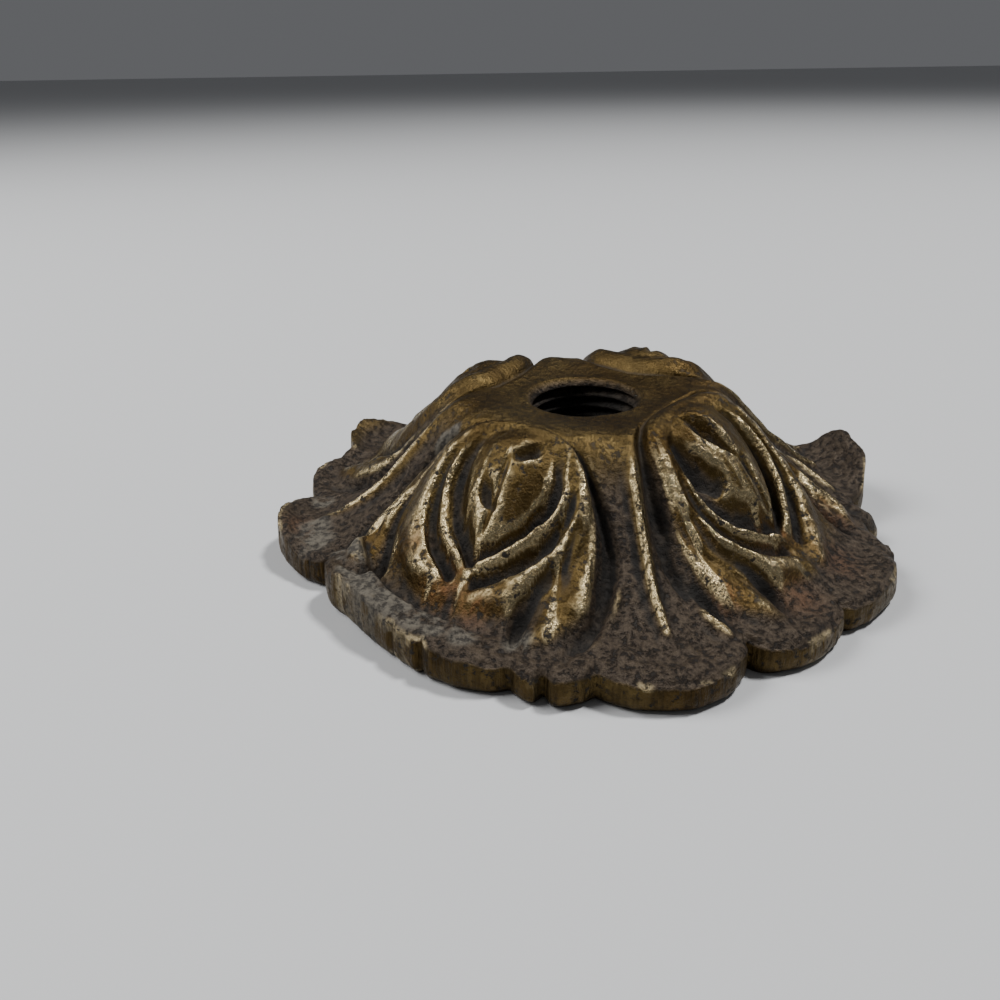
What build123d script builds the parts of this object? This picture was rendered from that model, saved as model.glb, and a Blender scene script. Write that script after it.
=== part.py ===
"""Cast-brass rosette: a domed ornamental cap that screws on to a lamp tube.

It is one casting. Four petals with a bud on each stand round a tapped centre hole, ribs
run down between them, and a scalloped, filed rim stands on a flat land.

Frame: millimetres, +Z up. The origin is on the tapped hole's axis, in the plane of the
flat land that the rosette rests on. An azimuth is measured from -Y towards +X, so the
front of the rosette, azimuth 0, faces -Y.
"""
import os
from math import cos, radians, sin

from build123d import *

# Tapped hole: an M10 x 1 lamp thread, modelled at the thread's core diameter.
thread_core_diameter = 8.92
tapped_length = 8.0
mouth_chamfer = 0.6

# Crown: a flat collar round the hole, a straight slope and a rim, with the corners
# between them rounded into an ogee. The radii are those of the corners.
collar_height = 12.6
shoulder_radius = 10.6
foot_radius = 20.4
foot_height = 3.1
rim_height = 2.5
shoulder_round = 5.0
foot_round = 9.0

# Rim outline: lobes between notches. Each lobe has a span in degrees and a rise, which is
# how far its crest stands out past the notches. One set of four lobes fills the angle from
# one ridge to the next.
notch_radius = 24.8
ridge_lobe_rise = 2.3
side_lobe_rise = 1.2
petal_lobe_rise = 1.8
bead_lobe_rise = 1.4
ridge_lobe_span = 29.0
side_lobe_span = 22.0
petal_lobe_span = 23.0

# Raised outer lip of each ridge lobe, and the round bead on each bead lobe.
lip_rise = 1.2
lip_width = 1.8
lip_span = 18.0
bead_radius = 1.2
bead_rise = 0.3
bead_overhang = 0.4

# Petals: each is a swelling of a ball that is sunk in the crown, inside an arched outline.
# The rise is how far the ball's top stands above the collar.
petal_count = 4
first_petal_azimuth = -30.0
petal_start_radius = 7.2
petal_end_radius = 21.4
petal_foot_length = 3.4
petal_foot_half_width = 6.8
petal_ball_radius = 11.6
petal_ball_place = 8.4
petal_rise = 1.8

# Bud on each petal, the groove round it, the groove round its leaves, and its vein.
bud_start_radius = 9.0
bud_tip_radius = 17.2
bud_half_width = 2.9
inner_groove_width = 1.1
inner_groove_depth = 1.2
leaf_width = 1.6
outer_groove_width = 0.7
outer_groove_depth = 0.9
vein_half_width = 0.4
vein_depth = 0.5
groove_floor = 0.5
groove_gap = 1.5

# Ribs between the petals: a spandrel that tapers to a rib, and a short rib on each side.
rib_rise = 0.9
rib_width = 1.1
spandrel_start_radius = 8.0
spandrel_width = 4.4
spandrel_end_radius = 12.5
rib_end_radius = 22.6
side_rib_start_radius = 17.0
side_rib_end_radius = 23.6
side_rib_width = 0.9
side_rib_angle = 10.0

# Underside: a hollow with a boss for the thread, inside a flat land.
crown_wall = 3.9
boss_radius = 7.8
land_width = 5.4
mouth_wall_height = 0.8
hollow_round = 1.5

# How far a blank runs past what it is cut to.
cut_margin = 1.0

# Values that follow from the sizes above.
sector = 360.0 / petal_count
ridge_lobe_crest = notch_radius + ridge_lobe_rise
ridge_azimuth = first_petal_azimuth + sector / 2
bead_lobe_span = sector - ridge_lobe_span - side_lobe_span - petal_lobe_span
bead_azimuth = ridge_azimuth - (ridge_lobe_span + bead_lobe_span) / 2
bead_centre_radius = notch_radius + bead_lobe_rise + bead_overhang - bead_radius
blank_radius = ridge_lobe_crest + cut_margin
blank_height = collar_height + petal_ball_radius
petal_ball_height = collar_height + petal_rise - petal_ball_radius
mouth_radius = thread_core_diameter / 2 + mouth_chamfer
boss_bottom = collar_height - mouth_chamfer - tapped_length
hollow_height = collar_height - crown_wall
hollow_mouth_radius = notch_radius - land_width
on_land = (Align.CENTER, Align.CENTER, Align.MIN)


def at_azimuth(azimuth, radius):
    """The plan point at an azimuth and a radius."""
    angle = radians(azimuth)
    return (radius * sin(angle), -radius * cos(angle))


def around(azimuth):
    """The places, one to a petal, of a shape drawn along +X, the first at an azimuth."""
    return PolarLocations(0, petal_count, start_angle=azimuth - 90)


def crown_solid(lift):
    """The crown as a solid of revolution out past the rim, raised by a lift."""
    corners = (
        (0, collar_height + lift),
        (shoulder_radius, collar_height + lift),
        (foot_radius, foot_height + lift),
        (blank_radius, rim_height + lift),
    )
    with BuildPart() as crown:
        with BuildSketch(Plane.XZ):
            with BuildLine():
                ogee = FilletPolyline(*corners, radius=(shoulder_round, foot_round))
                Polyline(ogee @ 1, (blank_radius, 0), (0, 0), ogee @ 0)
            make_face()
        revolve(axis=Axis.Z)
    return crown.part


def pointed_oval(start, tip, half_width):
    """A bud outline along +X: two arcs that meet in a point at each end."""
    middle = (start + tip) / 2
    with BuildSketch() as oval:
        with BuildLine():
            ThreePointArc((start, 0), (middle, half_width), (tip, 0))
            ThreePointArc((tip, 0), (middle, -half_width), (start, 0))
        make_face()
    return oval.sketch


def groove_outline(start, tip, half_width, width):
    """The band round a bud outline, left open over the first stretch of the bud."""
    with BuildSketch() as band:
        add(pointed_oval(start - width, tip + width, half_width + width))
        add(pointed_oval(start, tip, half_width), mode=Mode.SUBTRACT)
        with Locations((start + groove_gap, 0)):
            Rectangle(
                2 * blank_radius,
                2 * blank_radius,
                align=(Align.MAX, Align.CENTER),
                mode=Mode.SUBTRACT,
            )
    return band.sketch


def strip_outline(start, end, start_width, end_width):
    """A straight-sided strip along +X whose width changes from end to end."""
    with BuildSketch() as strip:
        with BuildLine():
            Polyline(
                (start, -start_width / 2),
                (end, -end_width / 2),
                (end, end_width / 2),
                (start, start_width / 2),
                close=True,
            )
        make_face()
    return strip.sketch


def ring_sector(inner_radius, outer_radius, span):
    """A piece of a ring about the origin, centred on +X, that spans an angle."""
    with BuildSketch() as sector_outline:
        with BuildLine():
            inner_arc = CenterArc((0, 0), inner_radius, -span / 2, span)
            outer_arc = CenterArc((0, 0), outer_radius, -span / 2, span)
            Line(inner_arc @ 0, outer_arc @ 0)
            Line(inner_arc @ 1, outer_arc @ 1)
        make_face()
    return sector_outline.sketch


def petal_outline():
    """The petal's plan outline along +X: a long arch, closed by a flatter arc at its foot."""
    foot = petal_end_radius - petal_foot_length
    with BuildSketch() as arch:
        with BuildLine():
            ThreePointArc(
                (foot, petal_foot_half_width),
                (petal_start_radius, 0),
                (foot, -petal_foot_half_width),
            )
            ThreePointArc(
                (foot, -petal_foot_half_width), (petal_end_radius, 0), (foot, petal_foot_half_width)
            )
        make_face()
    return arch.sketch


def petal_ball(inset):
    """The ball whose cap is the petal's swelling, made smaller by an inset."""
    with BuildPart() as ball:
        with Locations((petal_ball_place, 0, petal_ball_height)):
            Sphere(petal_ball_radius - inset)
    return ball.part


def petal_cutter(outline, depth):
    """What to cut so that a plan outline sinks into the petal by a depth."""
    with BuildPart() as cutter:
        add(outline)
        extrude(amount=blank_height)
        add(petal_ball(depth), mode=Mode.SUBTRACT)
        add(crown_solid(-groove_floor), mode=Mode.SUBTRACT)
    return cutter.part


# One petal along +X, cut off level with the land.
bud_groove = groove_outline(bud_start_radius, bud_tip_radius, bud_half_width, inner_groove_width)
leaf_groove = groove_outline(
    bud_start_radius,
    bud_tip_radius + inner_groove_width + leaf_width / 2,
    bud_half_width + inner_groove_width + leaf_width,
    outer_groove_width,
)
bud_vein = pointed_oval(
    bud_start_radius + leaf_width, bud_tip_radius - leaf_width / 2, vein_half_width
)
with BuildPart() as petal:
    add(petal_outline())
    extrude(amount=blank_height)
    add(petal_ball(0), mode=Mode.INTERSECT)
    add(petal_cutter(bud_groove, inner_groove_depth), mode=Mode.SUBTRACT)
    add(petal_cutter(leaf_groove, outer_groove_depth), mode=Mode.SUBTRACT)
    add(petal_cutter(bud_vein, vein_depth), mode=Mode.SUBTRACT)

# All the ribs, each no higher than the collar.
spandrel = strip_outline(spandrel_start_radius, spandrel_end_radius, spandrel_width, rib_width)
long_rib = strip_outline(spandrel_end_radius, rib_end_radius, rib_width, rib_width)
side_rib = strip_outline(
    side_rib_start_radius, side_rib_end_radius, side_rib_width, side_rib_width
)
with BuildPart() as ribs:
    with BuildSketch():
        with around(ridge_azimuth):
            add(spandrel)
            add(long_rib)
        for side in (-1, 1):
            with around(ridge_azimuth + side * side_rib_angle):
                add(side_rib)
    extrude(amount=collar_height)
    add(crown_solid(rib_rise), mode=Mode.INTERSECT)

# The raised lips, which the rim's outline trims.
lip_outline = ring_sector(ridge_lobe_crest - lip_width, blank_radius, lip_span)
with BuildPart() as lips:
    with BuildSketch():
        with around(ridge_azimuth):
            add(lip_outline)
    extrude(amount=rim_height + lip_rise)

# The casting.
with BuildPart() as rosette:
    add(crown_solid(0))
    add(lips.part)
    add(ribs.part)
    with around(first_petal_azimuth):
        add(petal.part)

    # The scalloped rim: each lobe is an arc from notch to notch.
    with BuildSketch():
        with BuildLine():
            lobes = (
                (ridge_lobe_span, ridge_lobe_rise),
                (side_lobe_span, side_lobe_rise),
                (petal_lobe_span, petal_lobe_rise),
                (bead_lobe_span, bead_lobe_rise),
            )
            notch_azimuth = ridge_azimuth - ridge_lobe_span / 2
            for _ in range(petal_count):
                for span, rise in lobes:
                    ThreePointArc(
                        at_azimuth(notch_azimuth, notch_radius),
                        at_azimuth(notch_azimuth + span / 2, notch_radius + rise),
                        at_azimuth(notch_azimuth + span, notch_radius),
                    )
                    notch_azimuth += span
        make_face()
    extrude(amount=blank_height, mode=Mode.INTERSECT)

    # A round bead on each bead lobe, standing a little past its crest.
    with around(bead_azimuth):
        with Locations((bead_centre_radius, 0, 0)):
            Cylinder(bead_radius, rim_height + bead_rise, align=on_land)

    # The hollow under the crown, with the boss standing down in its middle.
    with BuildSketch(Plane.XZ):
        with BuildLine():
            boss = Polyline(
                (0, 0), (0, boss_bottom), (boss_radius, boss_bottom), (boss_radius, hollow_height)
            )
            roof = FilletPolyline(
                boss @ 1,
                (shoulder_radius, hollow_height),
                (hollow_mouth_radius - 2 * hollow_round, mouth_wall_height),
                (hollow_mouth_radius, mouth_wall_height),
                radius=hollow_round,
            )
            Polyline(roof @ 1, (hollow_mouth_radius, 0), (0, 0))
        make_face()
    revolve(axis=Axis.Z, mode=Mode.SUBTRACT)

    # The tapped hole and the cone at its mouth.
    with Locations((0, 0, collar_height)):
        Hole(thread_core_diameter / 2)
    with Locations((0, 0, collar_height - mouth_chamfer / 2)):
        Cone(thread_core_diameter / 2, mouth_radius, mouth_chamfer, mode=Mode.SUBTRACT)

rosette.part.label = "rosette_casting"
os.makedirs("parts", exist_ok=True)
export_step(rosette.part, "parts/rosette_casting.step")
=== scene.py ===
"""Looks of the cast-brass lamp rosette: one sculpted casting with a tapped hole, on a pale floor.

The sculpting functions work in millimetres, in the row frame: the base plane is z = 0, the hole's
axis is the z axis, and an azimuth is measured in degrees from -Y towards +X. A petal's own
coordinates are u, outward along its centre line, and v, across it towards greater azimuth.
"""

import math

import bpy
import numpy as np
from mathutils import Matrix


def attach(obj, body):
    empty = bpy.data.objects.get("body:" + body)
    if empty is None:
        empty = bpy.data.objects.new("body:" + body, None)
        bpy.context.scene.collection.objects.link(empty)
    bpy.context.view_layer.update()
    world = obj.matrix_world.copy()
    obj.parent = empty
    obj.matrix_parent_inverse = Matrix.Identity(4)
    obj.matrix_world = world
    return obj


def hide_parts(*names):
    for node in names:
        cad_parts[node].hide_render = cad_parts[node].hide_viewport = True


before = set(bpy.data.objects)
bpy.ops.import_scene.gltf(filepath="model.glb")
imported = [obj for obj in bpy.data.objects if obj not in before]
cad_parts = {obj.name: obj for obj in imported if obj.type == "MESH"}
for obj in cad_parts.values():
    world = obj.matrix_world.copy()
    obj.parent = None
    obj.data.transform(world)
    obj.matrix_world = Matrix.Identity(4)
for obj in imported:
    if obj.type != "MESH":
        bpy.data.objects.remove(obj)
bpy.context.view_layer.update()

MM = 0.001
BODY = "root"
NODE = "rosette_casting"

# ---------------------------------------------------------------- sizes, in millimetres
# the tapped hole: an M10 x 1 thread, given by its core radius and its depth
THREAD_MINOR = 4.46
THREAD_DEPTH = 0.54
THREAD_PITCH = 1.0
MOUTH_RADIUS = 5.06
MOUTH_HEIGHT = 12.6
CHAMFER = 0.6

# the underside: the boss, and the hollow with a ledge just inside its mouth
BOSS_BOTTOM = 4.0
BOSS_RADIUS = 7.8
HOLLOW_HEIGHT = 8.7
HOLLOW_SHOULDER = 10.6
HOLLOW_MOUTH = 19.4
LEDGE_INNER = 16.4
LEDGE_HEIGHT = 0.8

# the crown's own profile, without its ornament: radius, height
CROWN = [(0, 12.6), (5, 12.6), (6, 12.6), (7, 12.75), (8.5, 13.0), (10, 13.0), (11.3, 12.3),
         (12.6, 11.0), (14.3, 9.0), (16, 7.1), (17.5, 5.7), (19.6, 4.2), (21.8, 3.2), (24, 2.7),
         (30, 2.6)]

# rim lobes: azimuth where the lobe starts, radius of the notch there, crest radius, crest place
LOBES = [(-86, 24.0, 27.0, 0.42), (-57, 23.8, 24.9, 0.5), (-41, 24.9, 26.2, 0.7),
         (-10, 25.3, 26.5, 0.45), (3, 25.3, 27.0, 0.48), (29, 24.3, 26.2, 0.5),
         (50, 25.2, 27.0, 0.5), (80, 24.7, 24.9, 0.5), (83.2, 24.5, 26.1, 0.5),
         (90.6, 24.4, 24.6, 0.5), (93, 24.5, 26.8, 0.45),
         (120, 24.8, 26.0, 0.5), (143, 24.8, 26.5, 0.5), (168, 25.0, 26.2, 0.5),
         (183, 24.8, 26.9, 0.5), (210, 24.8, 26.0, 0.5), (230, 24.6, 26.8, 0.5),
         (251, 24.2, 25.8, 0.5)]

# narrow nicks in the rim: azimuth, half width in degrees, depth
NICKS = [(-4.8, 0.9, 0.9), (-24.5, 0.7, 0.5), (-31.0, 0.6, 0.3), (29.3, 1.1, 0.6), (50.5, 0.9, 0.4),
         (-57.0, 1.2, 0.6), (71.0, 0.8, 0.3), (158.0, 0.9, 0.5), (-160.0, 1.0, 0.6)]

# places where the rim curls up, or dips at the bead: azimuth, spread in degrees, lift, radius
# where the lift starts
CURLS = [(-76, 8, 1.4, 21.5), (106, 8, 3.5, 21.0), (116, 7, 0.9, 21.5), (-117, 10, 2.3, 20.5),
         (-98, 5.5, 1.2, 22.0), (-45, 9, 0.8, 20.5), (66, 8, 0.3, 22.5), (196, 9, 1.6, 21.5),
         (156, 8, 0.6, 22.0), (87, 4, -0.9, 23.4)]
CURL_POWER = 3.2

# the four petals: azimuth of the centre line, fullness, place where the arch starts, sideways
# shift of the bud, and seed of the hand chasing
PETALS = {"front": (-28.5, 1.0, 9.5, 1.1, 1), "right": (58.5, 1.05, 7.2, -1.2, 2),
          "back": (150, 1.15, 7.4, 0.3, 3), "left": (-120, 0.95, 7.4, -0.3, 4)}

# how far out a petal's motif starts, and the place inside which it is stretched to its petal
MOTIF_START = 7.2
MOTIF_MIDDLE = 13.0

# the crown's fuller side: azimuth, spread in degrees, amount
LEAN_AZIMUTH = 112
LEAN_SPREAD = 26
LEAN_AMOUNT = 0.09

# the crusted ledge along the front left rim: azimuths and radii of its inner edge
SHELF_AZIMUTHS = [-57, -52, -38, -20, -5]
SHELF_RADII = [21.0, 21.7, 22.9, 23.4, 23.9]
SHELF_RISE = 0.75
SHELF_TROUGH = 0.7

# depth of each kind of random unevenness, and the size of its features
HAND_WANDER, HAND_CELL = 0.2, 3.0
LUMPS, LUMP_CELL = 0.12, 1.4
GRAINS, GRAIN_CELL = 0.08, 0.5
WAVES, WAVE_CELL = 0.07, 2.4
COLLAR_DENTS, ORNAMENT_DENTS, DENT_CELL = 0.012, 0.058, 0.65
RIM_WANDER, RIM_CELL = 0.12, 1.8
CAST_SKIN, CAST_CELL = 0.12, 2.2

# depth of the file marks on the rim wall
FILING = 0.05


def smooth(low, high, x):
    """0 below low, 1 above high and an S curve between."""
    t = np.clip((x - low) / (high - low), 0.0, 1.0)
    return t * t * (3 - 2 * t)


def blurred_table(points, step=0.05, reach=0.45):
    """A function through the points with its corners rounded over the given reach."""
    x = np.arange(points[0][0], points[-1][0] + step, step)
    y = np.interp(x, *zip(*points))
    count = int(3 * reach / step)
    kernel = np.exp(-0.5 * (np.arange(-count, count + 1) * step / reach) ** 2)
    y = np.convolve(np.pad(y, count, mode="edge"), kernel / kernel.sum(), mode="valid")
    return lambda value: np.interp(value, x, y)


def value_noise(x, y, cell, seed, octaves=3):
    """Smooth random height between about -1 and 1, with features about one cell wide."""
    total = np.zeros_like(x)
    strength = 1.0
    for octave in range(octaves):
        size = 128
        lattice = np.random.default_rng(seed * 101 + octave).uniform(-1, 1, (size, size))
        i, j = np.floor(x / cell), np.floor(y / cell)
        s, t = x / cell - i, y / cell - j
        s, t = s * s * (3 - 2 * s), t * t * (3 - 2 * t)
        i, j = i.astype(int) % size, j.astype(int) % size
        k, m = (i + 1) % size, (j + 1) % size
        low = lattice[i, j] * (1 - s) + lattice[k, j] * s
        high = lattice[i, m] * (1 - s) + lattice[k, m] * s
        total += strength * (low * (1 - t) + high * t)
        cell, strength = cell / 2.03, strength * 0.5
    return total


def curve_through(points, steps=7):
    """A smooth Catmull-Rom curve through rows of numbers, as an array of rows."""
    p = np.array(points, float)
    p = np.vstack([2 * p[0] - p[1], p, 2 * p[-1] - p[-2]])
    rows = []
    for a, b, c, d in zip(p, p[1:], p[2:], p[3:]):
        for t in np.arange(steps) / steps:
            rows.append(0.5 * (2 * b + (c - a) * t + (2 * a - 5 * b + 4 * c - d) * t ** 2
                               + (3 * b - a - 3 * c + d) * t ** 3))
    return np.vstack(rows + [p[-2]])


def stroke(u, v, points, sharpness=1.0):
    """Height of a modelled line: rounded across, or creased where sharpness is above 1.

    Each point is u, v, half width and height, and a negative height cuts a groove.
    """
    line = curve_through(points)
    result = np.zeros_like(u)
    reach = line[:, 2].max()
    near = ((u > line[:, 0].min() - reach) & (u < line[:, 0].max() + reach)
            & (v > line[:, 1].min() - reach) & (v < line[:, 1].max() + reach))
    pu, pv = u[near], v[near]
    best = np.zeros_like(pu)
    sign = np.sign(line[:, 3].sum())
    for (au, av, aw, ah), (bu, bv, bw, bh) in zip(line, line[1:]):
        du, dv = bu - au, bv - av
        t = np.clip(((pu - au) * du + (pv - av) * dv) / (du * du + dv * dv + 1e-9), 0, 1)
        gap = np.hypot(pu - au - t * du, pv - av - t * dv) / np.maximum(aw + t * (bw - aw), 0.02)
        bump = np.clip(1 - gap ** (2 / sharpness), 0, 1) ** 1.5
        best = np.maximum(best, bump * np.abs(ah + t * (bh - ah)))
    result[near] = sign * best
    return result


def turn_from(middle, azimuth):
    """Degrees from a middle azimuth to each azimuth, between -180 and 180."""
    return (azimuth - middle + 180) % 360 - 180


def plan(radius, azimuth):
    """x and y of a point given by radius and azimuth."""
    a = np.radians(azimuth)
    return radius * np.sin(a), -radius * np.cos(a)


def petal_axes(x, y, azimuth):
    """u and v of the points in a petal's own coordinates."""
    a = math.radians(azimuth)
    return x * math.sin(a) - y * math.cos(a), x * math.cos(a) + y * math.sin(a)


# ---------------------------------------------------------------- the ornament
# the petal's motif, one half of what is symmetric: u, v, half width, height
BUD = [(10.2, 0.0, 1.8, 0.15), (12.0, 0.0, 3.1, 0.6), (13.8, 0.0, 3.3, 0.9),
       (16.0, 0.0, 2.2, 0.9), (17.9, 0.0, 0.6, 0.4)]
OUTER_LEAF = [(8.6, 0.0, 1.3, 0.4), (9.0, 2.8, 1.4, 0.5), (10.6, 5.0, 1.4, 0.6),
              (13.2, 6.3, 1.4, 0.8), (16.2, 6.3, 1.5, 0.9), (18.9, 5.0, 1.4, 0.9),
              (20.6, 3.0, 1.3, 0.7), (21.6, 1.0, 1.0, 0.4)]
INNER_LEAF = [(11.6, 4.3, 0.5, 0.15), (13.4, 4.9, 0.7, 0.5), (15.5, 4.5, 0.8, 0.8),
              (17.5, 2.9, 0.8, 0.8), (19.0, 0.9, 0.6, 0.5)]
FAR_LEAF = [(12.4, 8.2, 0.8, 0.3), (15.0, 9.2, 1.3, 0.8), (17.8, 9.3, 1.6, 1.0),
            (20.4, 8.9, 1.4, 0.9), (22.0, 8.4, 0.9, 0.4)]
BUD_GROOVE = [(11.2, 3.3, 0.4, -0.2), (12.6, 3.9, 0.7, -0.8), (14.4, 4.0, 0.95, -1.3),
              (16.2, 3.2, 0.95, -1.4), (17.6, 1.7, 0.85, -1.3), (18.6, 0.1, 0.6, -1.0)]
LEAF_GROOVE = [(12.6, 5.4, 0.4, -0.2), (14.4, 5.5, 0.6, -0.5), (16.6, 4.9, 0.7, -0.7),
               (18.6, 3.2, 0.7, -0.8), (19.8, 1.2, 0.6, -0.9)]
OUTLINE_GROOVE = [(7.2, 0.0, 0.2, -0.25), (7.6, 3.0, 0.25, -0.4), (8.8, 6.0, 0.5, -0.8),
                  (11.0, 8.0, 0.9, -1.3), (13.6, 9.8, 1.1, -1.4), (16.4, 10.9, 1.1, -1.1),
                  (19.2, 11.3, 1.0, -0.7), (21.6, 11.0, 0.7, -0.3)]
SLOT_GROOVE = [(14.2, 7.6, 0.35, -0.3), (16.6, 7.7, 0.5, -0.6), (18.6, 6.9, 0.7, -1.1),
               (20.6, 6.6, 0.75, -1.3), (22.4, 7.2, 0.5, -0.6)]
VEIN = [(13.4, 0.0, 0.3, -0.3), (15.2, 0.1, 0.4, -0.5), (17.6, 0.0, 0.3, -0.5)]

# how much wider or narrower the bud groove is on each side of the petal
GROOVE_SPREAD = {-1: 1.3, 1: 0.75}

# the cut marks that differ from petal to petal: u, v, half width, height
MARKS = {
    "front": [[(10.9, 1.6, 0.5, -0.5), (12.0, 1.3, 0.75, -1.1), (13.0, 0.5, 0.4, -0.5)],
              [(14.8, -1.3, 0.4, -0.4), (15.5, -0.7, 0.75, -1.1), (16.0, 0.2, 0.45, -0.6)]],
    "right": [[(10.7, -1.1, 0.4, -0.6), (12.3, -0.7, 0.9, -1.6), (14.2, -0.1, 0.5, -1.0)],
              [(14.8, 0.6, 0.3, -0.5), (15.4, 0.3, 0.5, -1.0), (16.2, 0.1, 0.3, -0.5)],
              [(11.0, -3.6, 0.6, -0.8), (12.8, -3.5, 1.2, -1.7), (14.4, -2.8, 0.9, -1.3)]],
    "back": [[(10.9, -0.9, 0.4, -0.5), (12.3, -0.8, 0.7, -1.0), (13.6, -0.2, 0.4, -0.6)],
             [(14.6, 0.8, 0.4, -0.5), (15.4, 0.5, 0.6, -0.9)]],
    "left": [[(11.2, 1.2, 0.5, -0.6), (12.4, 0.9, 0.7, -1.0)],
             [(14.9, -0.8, 0.4, -0.5), (15.5, -0.3, 0.6, -0.9)]],
}

# small raised leaf beside the first mark: u, v, half width, height
LEAFLET = [(11.0, -0.6, 0.5, 0.2), (12.2, -0.5, 0.7, 0.45), (13.6, 0.0, 0.4, 0.3)]

# the ribs of a spandrel: radius, degrees from the spandrel's middle, half width, height
LONG_RIB = [(10.0, 4.0, 1.6, 0.1), (11.8, 2.0, 1.2, 0.5), (14.0, 1.0, 0.9, 1.2),
            (16.5, 0.8, 0.8, 1.3), (19.5, 0.2, 0.7, 1.2), (22.6, 0.2, 0.6, 0.7)]
BROAD_RIB = [(9.5, 0.0, 2.6, 0.15), (12.0, 0.0, 2.0, 0.7), (15.0, 1.0, 1.6, 1.3),
             (18.0, 1.5, 1.3, 1.2), (21.0, 1.5, 1.0, 0.8), (23.4, 1.0, 0.8, 0.4)]
SIDE_RIBS = [[(15.0, 6.2, 0.5, 0.3), (17.0, 7.6, 0.7, 0.8), (19.4, 8.6, 0.75, 0.9),
              (22.2, 9.6, 0.8, 0.9), (24.2, 11.6, 0.6, 0.7)],
             [(18.2, -6.6, 0.4, 0.3), (19.8, -8.0, 0.7, 0.8), (21.6, -10.6, 0.7, 0.8),
              (23.4, -13.0, 0.5, 0.4)]]
SPANDRELS = {"front": (15.5, [LONG_RIB, *SIDE_RIBS]), "right": (105, [LONG_RIB, *SIDE_RIBS]),
             "back": (196, [LONG_RIB, *SIDE_RIBS]), "left": (-75, [BROAD_RIB])}

# places with grey crust, and with a copper-red tint: azimuth, radius, reach
CRUST = [(-56, 22.4, 1.5), (-52, 22.9, 1.7), (-48, 23.3, 1.6), (-44, 23.7, 1.6), (-40, 24.0, 1.6),
         (-36, 24.2, 1.6), (-32, 24.3, 1.5), (-28, 24.4, 1.4), (-24, 24.4, 1.2), (-19, 24.3, 1.2),
         (-66, 24.3, 2.0), (-71, 24.0, 1.6), (-83, 23.6, 1.2), (-61, 12.1, 0.7), (-63, 13.0, 0.8),
         (-62, 14.2, 0.6), (-10, 23.4, 1.2)]
COPPER = [(48.6, 18.6, 1.4), (55, 19.2, 1.0), (62, 22.5, 1.8), (45, 22.8, 1.6), (-72, 25.2, 1.2),
          (-28, 20.8, 1.8), (-20, 21.6, 1.4), (78, 21.5, 1.5), (30, 21.0, 1.0), (-40, 19.0, 1.2)]

# the crown's height by radius, then a petal's swelling by u: its height and its half width
crown_height = blurred_table(CROWN)
swell_along = blurred_table([(5, 0), (7.2, 0), (8.2, 0.2), (9.5, 0.5), (11, 0.8), (13, 1.3), (15, 1.6),
                             (17, 1.5), (18.5, 1.2), (20, 0.8), (21.5, 0.35), (23, 0), (30, 0)])
swell_width = blurred_table([(5, 0.5), (6.6, 0.6), (7.4, 3), (8.5, 5), (10, 6.6), (12, 7.8),
                             (14, 8.5), (17, 9), (20, 8.6), (24, 7.5), (30, 7)])


def rim_radius(azimuth):
    """Radius of the scalloped outline at each azimuth."""
    starts = [lobe[0] for lobe in LOBES] + [LOBES[0][0] + 360]
    notches = [lobe[1] for lobe in LOBES] + [LOBES[0][1]]
    turned = (azimuth - starts[0]) % 360 + starts[0]
    radius = np.interp(turned, starts, notches)
    for (start, _, crest, place), end in zip(LOBES, starts[1:]):
        inside = (turned >= start) & (turned < end)
        t = (turned[inside] - start) / (end - start)
        t = t ** (math.log(0.5) / math.log(place))
        radius[inside] += (crest - radius[inside]) * np.sin(math.pi * t) ** 0.75
    for middle, half_width, depth in NICKS:
        radius -= depth * np.exp(-(turn_from(middle, azimuth) / half_width) ** 2)
    return radius


def leaning_crown(radius, azimuth):
    """The crown's height, which is fuller on the side that leans outwards."""
    lean = np.exp(-0.5 * (turn_from(LEAN_AZIMUTH, azimuth) / LEAN_SPREAD) ** 2)
    return crown_height(radius / (1 + LEAN_AMOUNT * lean))


def curl_lift(radius, azimuth, rim):
    """Height that the curls add near the rim, each a hollow shell with a raised lip."""
    lift = np.zeros_like(radius)
    for middle, spread, height, start in CURLS:
        rise = np.clip((radius - start) / (rim - start), 0, 1) ** CURL_POWER
        lift += height * rise * np.exp(-0.5 * (turn_from(middle, azimuth) / spread) ** 4)
    return lift


def shelf_lift(radius, azimuth):
    """Height of the crusted ledge along the front left rim, which ends in a step inwards."""
    along = smooth(-60, -53, azimuth) * (1 - smooth(-26, -8, azimuth))
    edge = np.interp(azimuth, SHELF_AZIMUTHS, SHELF_RADII)
    ledge = SHELF_RISE * smooth(edge - 0.4, edge + 0.3, radius)
    trough = SHELF_TROUGH * smooth(edge - 2.6, edge - 1.2, radius)
    return along * (ledge - trough * (1 - smooth(edge - 0.5, edge, radius)))


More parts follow.
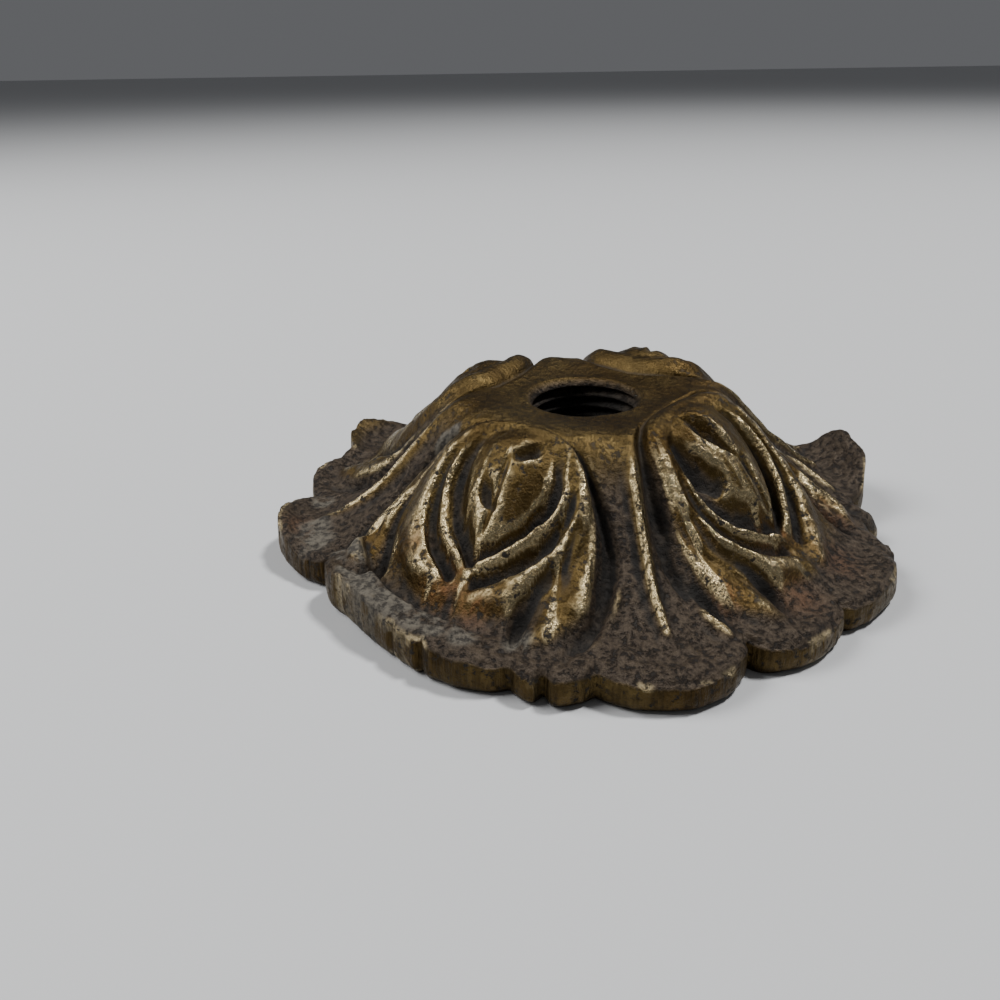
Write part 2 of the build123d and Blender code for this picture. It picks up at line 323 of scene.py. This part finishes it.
def petal_relief(x, y, name):
    """Height that one petal adds to the crown, its grooves included."""
    azimuth, fullness, start, shift, seed = PETALS[name]
    u, v = petal_axes(x, y, azimuth)
    stretch = (MOTIF_MIDDLE - MOTIF_START) / (MOTIF_MIDDLE - start)
    u = np.where(u < MOTIF_MIDDLE, MOTIF_MIDDLE - (MOTIF_MIDDLE - u) * stretch, u)
    mu = u + HAND_WANDER * value_noise(u, v, HAND_CELL, seed, 2)
    mv = v + HAND_WANDER * value_noise(u, v, HAND_CELL, seed + 20, 2)
    inner = mv - shift
    swell = fullness * swell_along(u) * np.clip(1 - (v / swell_width(u)) ** 2, 0, 1) ** 0.6
    raised = np.maximum(stroke(mu, inner, BUD, 0.8), stroke(mu, inner, LEAFLET))
    cut = stroke(mu, inner, VEIN)
    for side in (-1, 1):
        spread = GROOVE_SPREAD[side]
        bud_groove = [(pu, pv + 0.3 * (spread - 1), width * spread, depth)
                      for pu, pv, width, depth in BUD_GROOVE]
        for points in (OUTER_LEAF, INNER_LEAF):
            raised = np.maximum(raised, stroke(mu, side * inner, points))
        for points in (bud_groove, LEAF_GROOVE):
            cut = np.minimum(cut, stroke(mu, side * inner, points))
        raised = np.maximum(raised, stroke(mu, side * mv, FAR_LEAF))
        for points in (OUTLINE_GROOVE, SLOT_GROOVE):
            cut = np.minimum(cut, stroke(mu, side * mv, points))
    for points in MARKS[name]:
        cut = np.minimum(cut, stroke(mu, inner, points))
    return (swell + raised + cut) * (u > 5)


def spandrel_relief(radius, azimuth, middle, ribs):
    """Height of the ribs between two petals."""
    across = np.radians(turn_from(middle, azimuth)) * radius
    height = np.zeros_like(radius)
    for rib in ribs:
        points = [(r, math.radians(angle) * r, w, h) for r, angle, w, h in rib]
        height = np.maximum(height, stroke(radius, across, points, 1.5))
    return height


def spots(x, y, places):
    """1 near the given places, falling off over each one's reach: azimuth, radius, reach."""
    total = np.zeros_like(x)
    for azimuth, radius, reach in places:
        px, py = plan(radius, azimuth)
        total = np.maximum(total, np.exp(-((x - px) ** 2 + (y - py) ** 2) / reach ** 2))
    return total


def top_height(radius, azimuth):
    """The sculpted top surface and the mask of its rough low field."""
    x, y = plan(radius, azimuth)
    azimuth = turn_from(0, azimuth)
    rim = rim_radius(azimuth)
    relief = sum(petal_relief(x, y, name) for name in PETALS)
    for middle, ribs in SPANDRELS.values():
        rise = spandrel_relief(radius, azimuth, middle, ribs)
        relief = np.where(relief > 0.3, relief, relief + rise)
    fade = 1 - smooth(rim - 2.4, rim - 1.0, radius)
    field = smooth(11.0, 14.5, radius) * (1 - smooth(0.1, 0.8, relief * fade))
    height = leaning_crown(radius, azimuth) + relief * fade
    height += curl_lift(radius, azimuth, rim) + shelf_lift(radius, azimuth)
    height += field * (LUMPS * value_noise(x, y, LUMP_CELL, 31)
                       + GRAINS * value_noise(x, y, GRAIN_CELL, 32))
    dents = COLLAR_DENTS + ORNAMENT_DENTS * smooth(9.0, 12.0, radius)
    height += WAVES * value_noise(x, y, WAVE_CELL, 33, 2)
    height += dents * value_noise(x, y, DENT_CELL, 34, 2)

    # the rim's top edge is rounded off, more in some places than in others
    edge_wear = 0.5 + 0.5 * value_noise(x, y, 1.6, 35, 2)
    height -= (0.25 + 0.35 * edge_wear) * smooth(rim - 0.7, rim, radius) ** 1.5
    return height, field


# ---------------------------------------------------------------- the mesh
# points round each ring of the top, and rings over the top and down the rim wall
FINE = 800
TOP_ROWS = 150
WALL_ROWS = 9

# the rim wall: how far it bellies out, and how far its foot is drawn in
WALL_BELLY = 0.15
WALL_FOOT = 0.35

# rings on the land, inwards from the rim, and spacing of the rings farther in
LAND_RINGS = (0.6, 2.4)
UNDER_SPACING = 0.9
THREAD_SPACING = 0.125


def ring_azimuths(count):
    """Azimuths of the points of a ring."""
    return np.arange(count) * 360.0 / count


def box_blur(grid, rows, columns):
    """Mean over a window of the grid, which closes on itself along its columns."""
    total = sum(np.roll(grid, shift, 1) for shift in range(-columns, columns + 1))
    total = total / (2 * columns + 1)
    padded = np.pad(total, ((rows, rows), (0, 0)), mode="edge")
    return sum(padded[k:k + len(grid)] for k in range(2 * rows + 1)) / (2 * rows + 1)


def top_rows():
    """Rows of the top surface and the rim wall, from the hole's mouth outwards."""
    azimuth = ring_azimuths(FINE)
    x, y = plan(25.0, azimuth)
    rim = rim_radius(azimuth) + RIM_WANDER * value_noise(x, y, RIM_CELL, 40)
    t = np.linspace(0, 1, TOP_ROWS)
    t = 1 - (1 - t) * (1 - 0.12 * t ** 6)  # the rings close up a little towards the rim
    radius = MOUTH_RADIUS + t[:, None] * (rim - MOUTH_RADIUS)
    turns = np.broadcast_to(azimuth, radius.shape)
    height, field = top_height(radius, turns)
    height[1:-3] = box_blur(height, 1, 1)[1:-3]
    s = np.linspace(0, 1, WALL_ROWS + 1)[1:, None]
    wall_z = height[-1] * (1 - s)
    filing = FILING * value_noise(azimuth * 1.1 + 0 * wall_z, wall_z * 0.15, 1.0, 41)
    wall_r = rim + (WALL_BELLY + filing) * np.sin(math.pi * s) - WALL_FOOT * smooth(0.8, 1, s)
    wall_turns = np.broadcast_to(azimuth, wall_r.shape)
    return (np.vstack([radius, wall_r]), np.vstack([turns, wall_turns]),
            np.vstack([height, wall_z]), np.vstack([field, np.zeros_like(wall_r)]))


def thread_radius(z, azimuth):
    """Radius of the tapped hole's right-handed thread."""
    phase = (z / THREAD_PITCH + azimuth / 360) % 1.0
    tooth = np.clip(2.2 * np.abs(phase - 0.5) - 0.1, 0, 0.9) / 0.9
    runout = smooth(MOUTH_HEIGHT - CHAMFER, MOUTH_HEIGHT - CHAMFER - 0.4, z)
    return THREAD_MINOR + THREAD_DEPTH * tooth * (1 - 0.5 * (1 - runout))


def spaced(start, end, spacing):
    """Points along a straight run in (radius, height), without its last point."""
    count = max(1, round(math.dist(start, end) / spacing))
    t = np.arange(count)[:, None] / count
    return np.array(start) + t * (np.array(end) - np.array(start))


def under_rows():
    """Rows of the land, the hollow, the boss and the tapped hole, back to the mouth."""
    azimuth = ring_azimuths(FINE // 2)
    corners = [(HOLLOW_MOUTH, 0.0), (HOLLOW_MOUTH, LEDGE_HEIGHT), (LEDGE_INNER, LEDGE_HEIGHT),
               (HOLLOW_SHOULDER, HOLLOW_HEIGHT), (BOSS_RADIUS, HOLLOW_HEIGHT),
               (BOSS_RADIUS, BOSS_BOTTOM), (THREAD_MINOR + 0.5, BOSS_BOTTOM)]
    path = np.vstack([spaced(a, b, UNDER_SPACING) for a, b in zip(corners, corners[1:])])
    rows = [(rim_radius(azimuth) - inwards, np.zeros_like(azimuth)) for inwards in LAND_RINGS]
    x, y = plan(np.ones_like(azimuth), azimuth)
    for r, z in path:
        rough = CAST_SKIN * value_noise(x * r, y * r + z, CAST_CELL, 51) if 0 < z else 0.0
        rows.append((r + rough, z + rough * (z > BOSS_BOTTOM + 0.1) + np.zeros_like(azimuth)))
    for z in np.arange(BOSS_BOTTOM, MOUTH_HEIGHT - CHAMFER + 0.01, THREAD_SPACING):
        rows.append((thread_radius(z + 0 * azimuth, azimuth), z + 0 * azimuth))
    radius = np.array([np.broadcast_to(r, azimuth.shape) for r, _ in rows])
    height = np.array([np.broadcast_to(z, azimuth.shape) for _, z in rows])
    return radius, np.broadcast_to(azimuth, radius.shape), height


def ring_quads(first, rows, count):
    """Faces between consecutive rings of the same count."""
    j = np.arange(count)
    k = (j + 1) % count
    faces = []
    for row in range(rows - 1):
        a, b = first + row * count, first + (row + 1) * count
        faces.append(np.stack([a + j, b + j, b + k, a + k], 1))
    return np.vstack(faces).tolist()


def seam(fine, coarse, outward):
    """Triangles between a ring of FINE points and one of half as many."""
    faces = []
    half = FINE // 2
    for j in range(half):
        a, b, c = fine + 2 * j, fine + 2 * j + 1, fine + (2 * j + 2) % FINE
        d, e = coarse + j, coarse + (j + 1) % half
        for face in ((a, d, b), (b, d, e), (b, e, c)):
            faces.append(face if outward else face[::-1])
    return faces


def add_mask(mesh, name, values):
    """Stores one number for each point, for the material to read."""
    layer = mesh.attributes.new(name, "FLOAT", "POINT")
    layer.data.foreach_set("value", np.asarray(values, np.float32))


def top_masks(radius, turns, height, field):
    """Numbers over the top and the rim wall that tell the material where its patterns lie."""
    x, y = plan(radius, turns)
    rim = rim_radius(turns)
    broad_relief = height - box_blur(height, 7, 9)
    fine_relief = height - box_blur(height, 2, 3)
    broad_relief[TOP_ROWS - 4:] = 0
    fine_relief[TOP_ROWS - 3:] = 0
    wall = np.zeros_like(field)
    wall[TOP_ROWS:] = 1

    # crests are rubbed bright on the ornament, and in stretches of the rim's top edge
    crests = np.clip(broad_relief * 1.5 + fine_relief * 6, 0, 1) * (1 - 0.7 * field)
    worn_edge = smooth(rim - 0.55, rim - 0.1, radius) * (radius < rim + 0.08)
    worn_edge *= smooth(-0.1, 0.6, value_noise(x, y, 2.2, 61, 2))
    left_curls = smooth(3.4, 4.4, height) * smooth(23, 25, radius) * (x < 0)
    return {"hollow_patina_and_bore_shade": np.clip(-broad_relief * 1.5 - fine_relief * 3, 0, 1),
            "prominence": np.maximum(crests * smooth(9.5, 14.0, radius), 0.75 * worn_edge),
            "field": field * (1 - 0.8 * left_curls),
            "wall": wall,
            "ornament": smooth(8.5, 12.5, radius),
            "crust": spots(x, y, CRUST),
            "copper": spots(x, y, COPPER)}


def under_masks(radius, height):
    """The same numbers over the underside: rough skin, and painted shade deep inside the tapped hole
    and on the boss's end face.
    """
    none = np.zeros_like(height)
    masks = dict.fromkeys(("prominence", "wall", "ornament", "crust", "copper"), none)
    # painted shade: darker deeper inside the tapped hole and on the boss's end face
    depth = smooth(12.2, 10.4, height) * (radius < BOSS_RADIUS)
    return {**masks, "field": none + 1, "hollow_patina_and_bore_shade": 0.25 + 0.75 * depth}


def make_rosette():
    """The whole casting as one closed mesh."""
    radius, turns, height, field = top_rows()
    low_radius, low_turns, low_height = under_rows()
    xyz = []
    for r, a, z in ((radius, turns, height), (low_radius, low_turns, low_height)):
        x, y = plan(r, a)
        xyz.append(np.stack([x, y, z], -1).reshape(-1, 3))
    points = np.vstack(xyz) * MM
    top_count, low_count = len(radius), len(low_radius)
    start = top_count * FINE
    half = FINE // 2
    faces = ring_quads(0, top_count, FINE)
    faces += seam(start - FINE, start, True)
    faces += ring_quads(start, low_count, half)
    faces += seam(0, start + (low_count - 1) * half, False)
    mesh = bpy.data.meshes.new("rosette")
    mesh.from_pydata(points.tolist(), [], faces)
    mesh.validate()
    mesh.polygons.foreach_set("use_smooth", [True] * len(mesh.polygons))

    top = top_masks(radius, turns, height, field)
    under = under_masks(low_radius, low_height)
    for name in top:
        add_mask(mesh, name, np.concatenate([top[name].ravel(), under[name].ravel()]))
    piece = bpy.data.objects.new("rosette", mesh)
    bpy.context.scene.collection.objects.link(piece)
    return piece


# ---------------------------------------------------------------- materials
# colours of the metal and of what lies on it
BRASS = ((0.066, 0.041, 0.014), (0.108, 0.075, 0.029))
BROWN_STAIN = (0.040, 0.026, 0.011)
LOW_SKIN = ((0.020, 0.013, 0.008), (0.070, 0.051, 0.033))
COPPER_TINT = (0.130, 0.060, 0.028)
RUBBED_BRASS = (0.42, 0.335, 0.185)
# dark patina in the grooves and pits, and painted shade inside the tapped hole
GROOVE_PATINA_AND_BORE_SHADE = (0.008, 0.006, 0.004)
FILE_DIRT = (0.012, 0.009, 0.006)
GREY_CRUST = ((0.026, 0.021, 0.015), (0.105, 0.091, 0.068))
FLOOR_GREY = (0.55, 0.555, 0.56)

# how fine each pattern is: the number goes up as its features get smaller
BROAD_SCALE = 140.0
MOTTLE_SCALE = 420.0
FILED_SCALE = 1700.0
GRIT_SCALE = 1900.0
FINE_SCALE = 5200.0
FILED_STRETCH = (1.0, 1.0, 0.08)

# roughness and metallic of the main surfaces
GRITTY_ROUGHNESS = 0.52
SMOOTH_ROUGHNESS = 0.32
RUBBED_ROUGHNESS = 0.19
DIRT_ROUGHNESS = 0.8
SKIN_METALLIC = 0.6
DIRT_METALLIC = 0.25


class Graph:
    """Short calls for a material's nodes."""

    def __init__(self, name):
        self.material = bpy.data.materials.new(name)
        self.material.use_nodes = True
        self.tree = self.material.node_tree
        self.shader = self.tree.nodes["Principled BSDF"]

    def node(self, kind, **sockets):
        """A new node, with each named input set to a value or linked to a socket."""
        made = self.tree.nodes.new(kind)
        for name, value in sockets.items():
            self.feed(made.inputs[name.replace("_", " ")], value)
        return made

    def feed(self, socket, value):
        """Links a socket to an input, or sets the input to a plain value."""
        if isinstance(value, bpy.types.NodeSocket):
            self.tree.links.new(value, socket)
        else:
            socket.default_value = value

    def mask(self, name):
        """The mesh's own number of that name."""
        made = self.node("ShaderNodeAttribute")
        made.attribute_name = name
        return made.outputs["Fac"]

    def noise(self, place, scale, detail=3.0, roughness=0.5):
        """Random pattern through the solid, between 0 and 1."""
        made = self.node("ShaderNodeTexNoise", Vector=place, Scale=scale, Detail=detail,
                         Roughness=roughness)
        return made.outputs["Fac"]

    def spread(self, value, low, high, to_low=0.0, to_high=1.0):
        """The stretch from low to high, spread in an S curve over another stretch."""
        made = self.node("ShaderNodeMapRange", Value=value, From_Min=low, From_Max=high,
                         To_Min=to_low, To_Max=to_high)
        made.interpolation_type = "SMOOTHSTEP"
        return made.outputs["Result"]

    def math(self, operation, a, b=0.0):
        """Two numbers combined, and held between 0 and 1."""
        made = self.node("ShaderNodeMath")
        made.operation = operation
        made.use_clamp = True
        self.feed(made.inputs[0], a)
        self.feed(made.inputs[1], b)
        return made.outputs[0]

    def mix(self, factor, a, b):
        """A colour between two colours."""
        made = self.tree.nodes.new("ShaderNodeMix")
        made.data_type = "RGBA"
        self.feed(made.inputs["Factor"], factor)
        self.feed(made.inputs["A"], a if isinstance(a, bpy.types.NodeSocket) else (*a, 1))
        self.feed(made.inputs["B"], b if isinstance(b, bpy.types.NodeSocket) else (*b, 1))
        return made.outputs["Result"]

    def blend(self, factor, a, b):
        """A number between two numbers."""
        made = self.tree.nodes.new("ShaderNodeMix")
        self.feed(made.inputs["Factor"], factor)
        self.feed(made.inputs["A"], a)
        self.feed(made.inputs["B"], b)
        return made.outputs["Result"]


def aged_brass():
    """Cast brass with brown patina, black patina in the grooves, painted shade inside the tapped hole,
    gritty low skin and rubbed bright crests.
    """
    g = Graph("aged_brass")
    place = g.node("ShaderNodeTexCoord").outputs["Object"]
    field, wall = g.mask("field"), g.mask("wall")

    # random patterns; the filed one is drawn out into upright streaks
    broad = g.noise(place, BROAD_SCALE, 4.0)
    mottle = g.noise(place, MOTTLE_SCALE, 6.0, 0.6)
    grit = g.noise(place, GRIT_SCALE, 5.0, 0.68)
    fine = g.noise(place, FINE_SCALE, 3.0, 0.6)
    stretched = g.node("ShaderNodeVectorMath", Vector=place)
    stretched.operation = "MULTIPLY"
    stretched.inputs[1].default_value = FILED_STRETCH
    filed = g.noise(stretched.outputs["Vector"], FILED_SCALE, 4.0, 0.65)

    # where each surface shows: casting pits, tint, rubbed crests, dark patina in the grooves with
    # painted shade in the tapped hole, file marks and crust
    worn = g.math("MULTIPLY", g.spread(mottle, 0.42, 0.54), g.mask("ornament"))
    pit = g.math("MULTIPLY", g.spread(grit, 0.46, 0.38), g.blend(field, worn, 0.6))
    copper = g.math("MULTIPLY", g.mask("copper"), g.spread(grit, 0.40, 0.60, 0.1, 0.6))
    rubbed = g.math("MULTIPLY", g.spread(g.mask("prominence"), 0.30, 1.1),
                    g.spread(grit, 0.37, 0.55, 0.2, 1.0))
    # dark patina in the relief's hollows, and painted shade inside the tapped hole
    patina_and_bore_shade = g.math("MULTIPLY", g.spread(g.mask("hollow_patina_and_bore_shade"), 0.20, 1.0),
                    g.spread(mottle, 0.30, 0.60, 0.45, 1.0))
    dark_patina_pits_and_shade = g.math("MAXIMUM", patina_and_bore_shade, pit)
    streak = g.math("MULTIPLY", g.math("MULTIPLY", wall, g.spread(filed, 0.54, 0.40)),
                    g.spread(broad, 0.3, 0.6, 0.75, 0.3))
    crust = g.math("MULTIPLY", g.spread(g.mask("crust"), 0.25, 0.75), g.spread(mottle, 0.40, 0.52))

    # colour, from the metal outwards
    colour = g.mix(g.spread(broad, 0.35, 0.65), *BRASS)
    colour = g.mix(g.spread(mottle, 0.60, 0.40, 0.0, 0.45), colour, BROWN_STAIN)
    colour = g.mix(field, colour, g.mix(g.spread(grit, 0.38, 0.66), *LOW_SKIN))
    colour = g.mix(copper, colour, COPPER_TINT)
    colour = g.mix(rubbed, colour, RUBBED_BRASS)
    # darkened: patina in the grooves and pits, painted shade in the tapped hole
    colour = g.mix(dark_patina_pits_and_shade, colour, GROOVE_PATINA_AND_BORE_SHADE)
    colour = g.mix(streak, colour, FILE_DIRT)
    colour = g.mix(crust, colour, g.mix(g.spread(grit, 0.36, 0.62), *GREY_CRUST))
    g.feed(g.shader.inputs["Base Color"], colour)

    # shine
    smooth_rough = g.spread(grit, 0.35, 0.65, GRITTY_ROUGHNESS, SMOOTH_ROUGHNESS)
    rough = g.blend(field, smooth_rough, GRITTY_ROUGHNESS)
    rough = g.blend(rubbed, rough, RUBBED_ROUGHNESS)
    rough = g.blend(g.math("MAXIMUM", dark_patina_pits_and_shade, crust), rough, DIRT_ROUGHNESS)
    g.feed(g.shader.inputs["Roughness"], rough)
    metal = g.blend(dark_patina_pits_and_shade, g.blend(field, 1.0, SKIN_METALLIC), DIRT_METALLIC)
    g.feed(g.shader.inputs["Metallic"], g.blend(crust, metal, 0.0))

    # grain: grit, file marks and pits, with a finer grain over them
    coarse = g.math("MULTIPLY", grit, g.blend(field, 0.5, 1.0))
    marks = g.math("MULTIPLY", filed, wall)
    height = g.math("SUBTRACT", g.math("ADD", coarse, marks), g.math("MULTIPLY", pit, 0.6))
    bump = g.node("ShaderNodeBump", Strength=0.7, Distance=0.0004, Height=height)
    fine_bump = g.node("ShaderNodeBump", Strength=0.4, Distance=0.00008, Height=fine,
                       Normal=bump.outputs["Normal"])
    g.feed(g.shader.inputs["Normal"], fine_bump.outputs["Normal"])
    return g.material


def pale_floor():
    """The plain pale floor's material."""
    g = Graph("pale_floor")
    g.feed(g.shader.inputs["Base Color"], (*FLOOR_GREY, 1))
    g.feed(g.shader.inputs["Roughness"], 0.85)
    return g.material


# ---------------------------------------------------------------- stage, light and camera
# metres, watts and degrees
FLOOR_SIZE = 30.0
SKY_COLOUR = (0.93, 0.95, 1.0, 1)
SKY_STRENGTH = 0.13
CAMERA_PLACE = (0.0, -0.0715, 0.0379)
CAMERA_TURN = -5.97
CAMERA_DOWN = 26.4
CAMERA_TILT = -0.90
CAMERA_LENS = 31.14
CAMERA_SENSOR = 36.0
CAMERA_NEAR = 0.005


def add_floor():
    """A wide plain floor under the land."""
    bpy.ops.mesh.primitive_plane_add(size=FLOOR_SIZE, location=(0, 0, 0))
    floor = bpy.context.object
    floor.name = "floor"
    floor.data.materials.append(pale_floor())


def add_area_light(name, place, size, power):
    """A square soft light that faces the origin."""
    data = bpy.data.lights.new(name, "AREA")
    data.size = size
    data.energy = power
    light = bpy.data.objects.new(name, data)
    bpy.context.scene.collection.objects.link(light)
    light.location = place
    toward = -np.array(place) / math.hypot(*place)
    side = np.cross(toward, (0, 0, 1))
    side = side / np.linalg.norm(side)
    up = np.cross(side, toward)
    light.rotation_euler = Matrix(np.stack([side, up, -toward], 1).tolist()).to_euler()


def add_light():
    """Even dim light all round, a small bright key light and a wider fill light."""
    world = bpy.data.worlds.new("studio")
    bpy.context.scene.world = world
    world.use_nodes = True
    background = world.node_tree.nodes["Background"]
    background.inputs["Color"].default_value = SKY_COLOUR
    background.inputs["Strength"].default_value = SKY_STRENGTH
    add_area_light("key", (0.34, 0.16, 0.80), size=0.13, power=7.4)
    add_area_light("fill", (-0.36, -0.02, 0.40), size=0.28, power=2.6)


def add_camera():
    """The camera, in front of the hole's axis, turned a little to the left and looking down."""
    yaw, pitch, roll = (math.radians(a) for a in (CAMERA_TURN, CAMERA_DOWN, CAMERA_TILT))
    forward = np.array([math.sin(yaw) * math.cos(pitch), math.cos(yaw) * math.cos(pitch),
                        -math.sin(pitch)])
    level = np.array([math.cos(yaw), -math.sin(yaw), 0.0])
    upright = np.cross(level, forward)
    right = math.cos(roll) * level + math.sin(roll) * upright
    up = math.cos(roll) * upright - math.sin(roll) * level
    data = bpy.data.cameras.new("camera")
    data.sensor_width = CAMERA_SENSOR
    data.lens = CAMERA_LENS
    data.clip_start = CAMERA_NEAR
    camera = bpy.data.objects.new("camera", data)
    bpy.context.scene.collection.objects.link(camera)
    camera.location = CAMERA_PLACE
    camera.rotation_euler = Matrix(np.stack([right, up, -forward], 1).tolist()).to_euler()
    bpy.context.scene.camera = camera


rosette = make_rosette()
rosette.data.materials.append(aged_brass())
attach(rosette, BODY)
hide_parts(NODE)
add_floor()
add_light()
add_camera()
